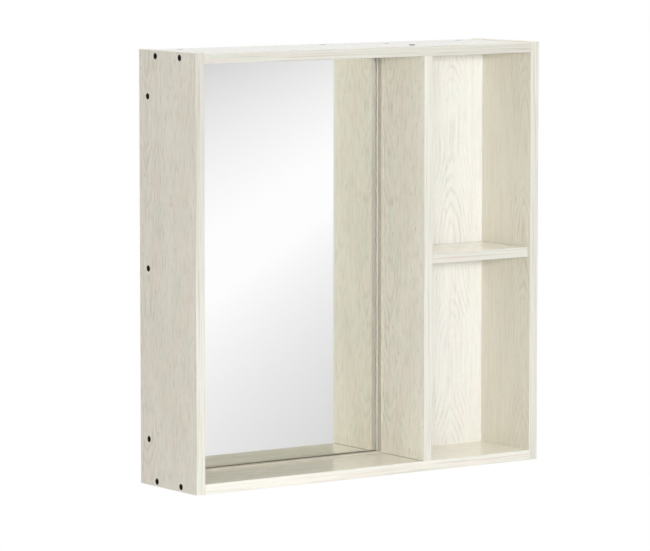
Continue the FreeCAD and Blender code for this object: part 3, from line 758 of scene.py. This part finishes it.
zinc = metal_finish("zinc_plate", ZINC_DARK, ZINC_BRIGHT, 1.0, 0.28, ZINC_STRETCH)
nickel = metal_finish("nickel_plate", NICKEL_DARK, NICKEL_BRIGHT, 1.0, 0.14, NICKEL_STRETCH)
black = metal_finish("blackened_steel", BLACK_DARK, BLACK_WORN, 0.25, 0.50, BLACK_STRETCH, level=0.12)
give(zinc, "left_hanger_plate", "right_hanger_plate")

# %% [markdown]
# ## Turned pieces
# Screws and pins are turned from a rod on a lathe. Here the lathe is a disc that is extruded again
# and again: after each step the new end is scaled to the next diameter. Every ring is a depth below
# the head and a diameter, in millimetres. The thread is hidden in the wood, so the shank stays plain.


# %% A lathe
def turned(name, rings, sides=40):
    """A solid along -Z through rings, each a depth and a diameter in millimetres."""
    deselect_all()
    first_depth, first_diameter = rings[0]
    bpy.ops.mesh.primitive_circle_add(
        vertices=sides,
        radius=first_diameter / 2 * MILLIMETRE,
        fill_type="NGON",
        location=(0, 0, -first_depth * MILLIMETRE),
    )
    bpy.ops.object.transform_apply(location=True)
    piece = bpy.context.object
    piece.name = name
    bpy.ops.object.mode_set(mode="EDIT")
    bpy.ops.mesh.select_all(action="SELECT")
    for (depth, diameter), (next_depth, next_diameter) in zip(rings, rings[1:]):
        step = (depth - next_depth) * MILLIMETRE
        bpy.ops.mesh.extrude_region_move(TRANSFORM_OT_translate={"value": (0, 0, step)})
        ratio = next_diameter / diameter
        bpy.ops.transform.resize(value=(ratio, ratio, 1))
    bpy.ops.mesh.select_all(action="SELECT")
    bpy.ops.mesh.normals_make_consistent(inside=False)
    bpy.ops.object.mode_set(mode="OBJECT")
    return piece


# %% [markdown]
# Sockets and recesses are cut, and rests are fused on, with Boolean modifiers, as a milling cutter or
# a weld would do it. Then every sharp edge gets a tiny bevel, because no real edge is perfectly sharp
# and a bevel is what catches the light.

# %% Cut, fuse and soften
BEVEL_ABOVE = radians(35)
SMOOTH_BELOW = radians(30)


def take_up(piece):
    """Select this piece alone."""
    deselect_all()
    bpy.context.view_layer.objects.active = piece
    piece.select_set(True)


def combine(piece, tool, operation):
    """Cut the tool out of a piece, or add it, and throw the tool away."""
    modifier = piece.modifiers.new("combine", "BOOLEAN")
    modifier.operation = operation
    modifier.object = tool
    take_up(piece)
    bpy.ops.object.modifier_apply(modifier=modifier.name)
    bpy.data.objects.remove(tool)


def soften(piece, width, material):
    """Round the sharp edges, smooth the turned faces and lay on the finish."""
    modifier = piece.modifiers.new("soften", "BEVEL")
    modifier.width = width * MILLIMETRE
    modifier.segments = 2
    modifier.limit_method = "ANGLE"
    modifier.angle_limit = BEVEL_ABOVE
    take_up(piece)
    bpy.ops.object.modifier_apply(modifier=modifier.name)
    bpy.ops.object.shade_smooth_by_angle(angle=SMOOTH_BELOW)
    piece.data.materials.append(material)
    print(piece.name, len(piece.data.polygons), "faces")


# %% [markdown]
# ## Connecting screws
# These hold the boards together: a countersunk head, a plain neck and a long shank, with a hexagon
# socket for the key. The socket is a six-sided prism cut out of the head.

# %% One connecting screw
SCREW_RINGS = [(0, 9.5), (1.45, 6.6), (14.0, 6.6), (14.8, 5.0), (37.0, 5.0), (40.0, 2.4)]
SOCKET_WIDTH = 4.0
SOCKET_DEPTH = 2.6
SCREW_SOFTNESS = 0.15

connecting_screw = turned("connecting_screw", SCREW_RINGS)
deselect_all()
bpy.ops.mesh.primitive_cylinder_add(
    vertices=6,
    radius=SOCKET_WIDTH / 3**0.5 * MILLIMETRE,
    depth=2 * SOCKET_DEPTH * MILLIMETRE,
)
combine(connecting_screw, bpy.context.object, "DIFFERENCE")
soften(connecting_screw, SCREW_SOFTNESS, black)

# %% [markdown]
# One screw is modelled and copied to every place. A fitter drives each screw until it is tight, so no
# two sockets stop at the same angle, and the copies are turned likewise. Linked copies would save
# memory, but all screws of one panel stand for one piece of the measured model, so they are joined.

# %% Copies of a fastener
SCREW_TURN = radians(47)


def set_out(pattern, name, poses, node):
    """Copies of a pattern, each with its own mesh, joined into one piece that stands for a node."""
    copies = []
    for pose in poses:
        take_up(pattern)
        bpy.ops.object.duplicate()
        bpy.context.object.matrix_world = pose
        copies.append(bpy.context.object)
    for copy in copies:
        copy.select_set(True)
    bpy.ops.object.transform_apply(location=True, rotation=True, scale=True)
    bpy.ops.object.join()
    piece = bpy.context.object
    piece.name = name
    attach(piece, "carcass")
    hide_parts(node)
    print(name, len(copies), "pieces")


def driven(heads, facing):
    """A pose for each head, given in millimetres, turned on by the same step from screw to screw."""
    poses = []
    for number, head in enumerate(heads):
        turn = Matrix.Rotation(number * SCREW_TURN, 4, "Z")
        poses.append(Matrix.Translation(Vector(head) * MILLIMETRE) @ facing @ turn)
    return poses


# %% [markdown]
# The places of the heads are in millimetres. On each side, four screws go into the ends of the top
# and bottom panels and three into the back panel. In the top and bottom panels, three go into the
# back panel and two into the divider. In the top panel the heads end at slightly different heights.

# %% Drive the connecting screws
FACE_LEFT = Matrix.Rotation(-pi / 2, 4, "Y")
FACE_RIGHT = Matrix.Rotation(pi / 2, 4, "Y")
FACE_UP = Matrix.Identity(4)
FACE_DOWN = Matrix.Rotation(pi, 4, "X")
PANEL_ROWS = (-108.5, -44.5)
BACK_ROW = -23.5
LYING_HEIGHTS = (25.5, -598.3)
BACK_HEIGHTS = (-537.8, -285.8, -33.8)
BACK_PLACES = (-255.5, 0, 255.5)
DIVIDER_PLACE = 104
SIDE_HEADS = 312.3
BOTTOM_HEADS = -605.6
TOP_HEADS = (33.0, 33.0, 33.0, 33.5, 32.95)

side_spots = [(y, z) for z in LYING_HEIGHTS for y in PANEL_ROWS]
side_spots += [(BACK_ROW, z) for z in BACK_HEIGHTS]
flat_spots = [(x, BACK_ROW) for x in BACK_PLACES]
flat_spots += [(DIVIDER_PLACE, y) for y in PANEL_ROWS]
left_poses = driven([(-SIDE_HEADS, y, z) for y, z in side_spots], FACE_LEFT)
right_poses = driven([(SIDE_HEADS, y, z) for y, z in side_spots], FACE_RIGHT)
top_poses = driven([(x, y, z) for (x, y), z in zip(flat_spots, TOP_HEADS)], FACE_UP)
bottom_poses = driven([(x, y, BOTTOM_HEADS) for x, y in flat_spots], FACE_DOWN)
set_out(connecting_screw, "left_connectors", left_poses, "left_side_screws")
set_out(connecting_screw, "right_connectors", right_poses, "right_side_screws")
set_out(connecting_screw, "top_connectors", top_poses, "top_screws")
set_out(connecting_screw, "bottom_connectors", bottom_poses, "bottom_screws")
bpy.data.objects.remove(connecting_screw)

# %% [markdown]
# ## Plate screws
# Small countersunk screws hold the hanger plates to the rear edges. Their cross recess starts as a
# square bar, whose four sides are extruded into arms.

# %% Plate screws
PLATE_RINGS = [(0, 5.6), (1.3, 3.0), (13.0, 3.0), (16.0, 0.8)]
PLATE_SOFTNESS = 0.08
PLATE_PLACES = ((305, 7), (305, -15.5), (286.5, 25.5), (264, 25.5))
PLATE_HEADS = -0.2
CROSS_ARM = 0.9
CROSS_REACH = 1.05
CROSS_DEPTH = 1.0
FACE_WALL = Matrix.Rotation(-pi / 2, 4, "X")

plate_screw = turned("plate_screw", PLATE_RINGS, sides=32)
deselect_all()
bpy.ops.mesh.primitive_cube_add(size=CROSS_ARM * MILLIMETRE)
cross = bpy.context.object
cross.scale.z = 2 * CROSS_DEPTH / CROSS_ARM
bpy.ops.object.transform_apply(scale=True)
bpy.ops.object.mode_set(mode="EDIT")
bpy.ops.mesh.select_all(action="DESELECT")
cross_mesh = bmesh.from_edit_mesh(cross.data)
for face in cross_mesh.faces:
    face.select_set(abs(face.normal.z) < FACING)
bmesh.update_edit_mesh(cross.data)
bpy.ops.mesh.extrude_faces_move(TRANSFORM_OT_shrink_fatten={"value": CROSS_REACH * MILLIMETRE})
bpy.ops.object.mode_set(mode="OBJECT")
combine(plate_screw, cross, "DIFFERENCE")
soften(plate_screw, PLATE_SOFTNESS, zinc)
plate_heads = [(side * x, PLATE_HEADS, z) for side in (-1, 1) for x, z in PLATE_PLACES]
set_out(plate_screw, "plate_screws", driven(plate_heads, FACE_WALL), "hanger_screws")
bpy.data.objects.remove(plate_screw)

# %% [markdown]
# ## Shelf pins
# Each pin is a turned shank with a collar, and a flat rest that reaches under the shelf. The rest is
# a small block whose outer corners are rounded off, and it is fused to the collar before all edges
# are softened.

# %% One shelf pin
PIN_RINGS = [(-1.4, 6.0), (0, 6.0), (0, 5.0), (8.4, 5.0), (9.0, 3.8)]
PIN_SOFTNESS = 0.15
REST_WIDTH = 6.0
REST_THICKNESS = 2.0
REST_REACH = 9.5
REST_CORNER = 1.6
REST_TOP = 3.0
REST_TIP = 0.9 * REST_REACH * MILLIMETRE
SAME_PLACE = 0.1 * MILLIMETRE

shelf_pin = turned("shelf_pin", PIN_RINGS)
deselect_all()
rest_middle = Vector((0, REST_TOP - REST_THICKNESS / 2, REST_REACH / 2)) * MILLIMETRE
bpy.ops.mesh.primitive_cube_add(size=MILLIMETRE, location=rest_middle)
rest = bpy.context.object
rest.scale = (REST_WIDTH, REST_THICKNESS, REST_REACH)
bpy.ops.object.transform_apply(location=True, scale=True)
bpy.ops.object.mode_set(mode="EDIT")
bpy.ops.mesh.select_all(action="DESELECT")
rest_mesh = bmesh.from_edit_mesh(rest.data)
for edge in rest_mesh.edges:
    ends = [corner.co for corner in edge.verts]
    at_tip = min(end.z for end in ends) > REST_TIP
    edge.select_set(at_tip and abs(ends[0].x - ends[1].x) < SAME_PLACE)
bmesh.update_edit_mesh(rest.data)
bpy.ops.mesh.bevel(offset=REST_CORNER * MILLIMETRE, segments=5)
bpy.ops.object.mode_set(mode="OBJECT")
combine(shelf_pin, rest, "UNION")
soften(shelf_pin, PIN_SOFTNESS, nickel)

# %% [markdown]
# Two pins stand in the divider and two in the right side, with their rests facing each other. A turn
# by a third of a circle about the diagonal swaps the axes, so that the pin's axis lies along X and the
# top of its rest points up.

# %% Set the shelf pins
PIN_HEIGHT = -296.8
PIN_ROWS = (-97.5, -54.5)
DIVIDER_FACE = 111.5
RIGHT_SIDE_FACE = 297.5
OUT_OF_DIVIDER = Matrix.Rotation(2 * pi / 3, 4, Vector((1, 1, 1)))
OUT_OF_RIGHT_SIDE = Matrix.Rotation(pi, 4, "Z") @ OUT_OF_DIVIDER
pin_poses = [
    Matrix.Translation(Vector((x, y, PIN_HEIGHT)) * MILLIMETRE) @ facing
    for x, facing in ((DIVIDER_FACE, OUT_OF_DIVIDER), (RIGHT_SIDE_FACE, OUT_OF_RIGHT_SIDE))
    for y in PIN_ROWS
]
set_out(shelf_pin, "pins_under_shelf", pin_poses, "shelf_pins")
bpy.data.objects.remove(shelf_pin)

# %% [markdown]
# ## Floor and background
# The cabinet hangs, so the floor lies some way below it and its shadow falls there. A big plane is
# enough, since nobody looks at it closely.

# %% Floor
FLOOR_DROP = 0.394
FLOOR_SIZE = 160.0
floor_height = cad_box[0].z - FLOOR_DROP
deselect_all()
bpy.ops.mesh.primitive_plane_add(size=FLOOR_SIZE, location=(0, 0, floor_height))
floor = bpy.context.object
floor.name = "studio_floor"
bpy.ops.object.transform_apply(location=True)
print("floor", FLOOR_SIZE, "m wide, at", round(floor_height, 3), "m")

# %% [markdown]
# Near the cabinet the floor is plain pale paint that takes light and shadow. Further off, the eye
# should find only white, so rays that come straight from the camera, or by way of the mirror, meet a
# glow of strength one there. In the mirror the glow is a broad strip of light that fades to grey on
# both sides, as the floor of a studio does under a long lamp, and it is bluer by as much as silver is
# yellow. Rays that carry light meet the paint everywhere.

# %% Floor paint and glow
FLOOR_PALE = (0.86, 0.86, 0.85, 1.0)
FLOOR_SOFT = (0.82, 0.82, 0.81, 1.0)
FLOOR_SCALE = 6.0
FLOOR_LIMITS = (0.3, 0.7)
NEAR_FLOOR = 0.6
FAR_FLOOR = 1.3
STRIP_TURN = radians(42)
STRIP_PLACE = -1.146
STRIP_CREST = 1.04
STRIP_FADE_FAR = 0.19
STRIP_FADE_NEAR = 0.43
STRIP_FLOOR = 0.66
STRIP_DARK = (0.0, 0.0, 0.0, 1.0)
STRIP_LIGHT = (1.035, 1.031, 1.079, 1.0)
PLAIN_WHITE = (1.0, 1.0, 1.0, 1.0)
HALF = 0.5


def seen_by_eye(wire):
    """1 for rays from the camera, or through glass and gloss, before they meet a dull surface."""
    path = wire.node("ShaderNodeLightPath")
    eye = path.other("Is Camera Ray") + path.other("Is Glossy Ray") + path.other("Is Transmission Ray")
    return (eye > HALF) * (path.other("Diffuse Depth") < HALF)


def seen_straight(wire):
    """1 for rays that come from the camera itself."""
    return wire.node("ShaderNodeLightPath").other("Is Camera Ray")


floor_paint, place = new_finish("floor_paint")
east, north = place.axis("X"), place.axis("Y")
distance = (east * east + north * north) ** 0.5
far_off = distance.ramp(NEAR_FLOOR, FAR_FLOOR)
strip = east * cos(STRIP_TURN) + north * sin(STRIP_TURN) - STRIP_PLACE
strip_glow = STRIP_CREST - strip.at_least(0.0) * STRIP_FADE_NEAR + strip.at_most(0.0) * STRIP_FADE_FAR
strip_glow = strip_glow.at_least(STRIP_FLOOR).at_most(1.0)
glow_colour = seen_straight(place).tint(strip_glow.tint(STRIP_DARK, STRIP_LIGHT), PLAIN_WHITE)
paint_colour = place.noise(FLOOR_SCALE, 4.0).ramp(*FLOOR_LIMITS).tint(FLOOR_PALE, FLOOR_SOFT)
paint_shader = place.node("ShaderNodeBsdfDiffuse", {"Color": paint_colour})
glow = place.node("ShaderNodeEmission", {"Color": glow_colour, "Strength": 1.0})
floor_shader = (seen_by_eye(place) * far_off).blend(paint_shader, glow)
place.node("ShaderNodeOutputMaterial", {"Surface": floor_shader})
floor.data.materials.append(floor_paint)
print("the floor glows from", FAR_FLOOR, "m on")

# %% [markdown]
# ## Light
# Product light is broad and soft: a bright room all round and two lamps. The room is the world's own
# colour. To the camera it is white, and to everything it lights it is a plain grey level, so that a
# colour comes out about as written. Mirror and gloss see it a little dimmer, and dimmer and warmer
# still on the camera's side, where a studio is dark.

# %% World
ROOM_LEVEL = 0.44
GLOSS_LEVEL = 0.80
GLOSS_DIM = 0.36
ROOM_WARM = (1.0, 0.96, 0.84, 1.0)
SIDE_FADE = 0.3
HORIZON_FADE = 0.06

world = bpy.data.worlds.new("bright_room")
world.use_nodes = True
world.node_tree.nodes.clear()
room = Wire(world.node_tree, world.node_tree.nodes.new("ShaderNodeTexCoord").outputs["Generated"])
camera_side = room.axis("Y").ramp(-SIDE_FADE, 0.0, 1.0, 0.0)
dimmed = camera_side * room.axis("Z").ramp(0.0, HORIZON_FADE)
in_gloss = GLOSS_LEVEL - dimmed * (GLOSS_LEVEL - GLOSS_DIM)
straight = seen_straight(room)
by_eye = seen_by_eye(room)
seen_level = straight + (1 - straight) * in_gloss
room_strength = ROOM_LEVEL * (1 - by_eye) + by_eye * seen_level
room_colour = (dimmed * by_eye * (1 - straight)).tint(PLAIN_WHITE, ROOM_WARM)
background = room.node("ShaderNodeBackground", {"Color": room_colour, "Strength": room_strength})
room.node("ShaderNodeOutputWorld", {"Surface": background})
scene.world = world
print("room level", ROOM_LEVEL)

# %% [markdown]
# One lamp is long and flat and stands in front, to the left. It hangs a little higher than the shelf,
# so the shelf throws a short shadow on the back. A square lamp as wide as that would reach far above
# and below the shelf, and blur the shadow. The other lamp is square, hangs overhead and lights the top.

# %% Lamps
FRONT_PLACE = (-2.41, -4.93, 0.46)
FRONT_SIZE = (3.5, 0.6)
FRONT_POWER = 158.0
TOP_PLACE = (0.0, -0.3, 2.1)
TOP_SIZE = (2.0, 2.0)
TOP_POWER = 32.0


def lamp(name, power, size, place, target):
    """A soft lamp, so wide and so high, that faces a point."""
    data = bpy.data.lights.new(name, "AREA")
    data.energy = power
    data.shape = "RECTANGLE"
    data.size, data.size_y = size
    lamp_object = bpy.data.objects.new(name, data)
    lamp_object.location = place
    lamp_object.rotation_euler = (target - Vector(place)).to_track_quat("-Z", "Y").to_euler()
    scene.collection.objects.link(lamp_object)
    print(name, power, "W at", [round(n, 2) for n in place])


middle = (cad_box[0] + cad_box[1]) / 2
lamp("front_lamp", FRONT_POWER, FRONT_SIZE, FRONT_PLACE, middle)
lamp("top_lamp", TOP_POWER, TOP_SIZE, TOP_PLACE, middle)

# %% [markdown]
# ## Camera
# A long lens from six metres keeps the edges nearly parallel, as in a catalogue picture. The camera
# stands to the left of the cabinet, a little above it, and looks down on it slightly. The point that
# it aims at lies on the plane of the front edges.

# %% Camera
CAMERA_TURN = radians(35.302)
CAMERA_DIP = radians(5.900)
CAMERA_DISTANCE = 5.961
CAMERA_LENS = 224.58
SENSOR_WIDTH = 36.0
AIM_X = -0.0855
AIM_Z = -0.2991

aim = Vector((AIM_X, cad_box[0].y, AIM_Z))
level_way = Vector((sin(CAMERA_TURN), cos(CAMERA_TURN), 0)) * cos(CAMERA_DIP)
looking = level_way - Vector((0, 0, sin(CAMERA_DIP)))
camera_data = bpy.data.cameras.new("catalogue_camera")
camera_data.lens = CAMERA_LENS
camera_data.sensor_width = SENSOR_WIDTH
camera_data.sensor_fit = "HORIZONTAL"
camera_data.clip_end = 2 * FLOOR_SIZE
camera = bpy.data.objects.new("catalogue_camera", camera_data)
camera.location = aim - looking * CAMERA_DISTANCE
camera.rotation_euler = (pi / 2 - CAMERA_DIP, 0, -CAMERA_TURN)
scene.collection.objects.link(camera)
scene.camera = camera
scene.view_settings.view_transform = "Standard"
print("camera at", [round(n, 2) for n in camera.location])
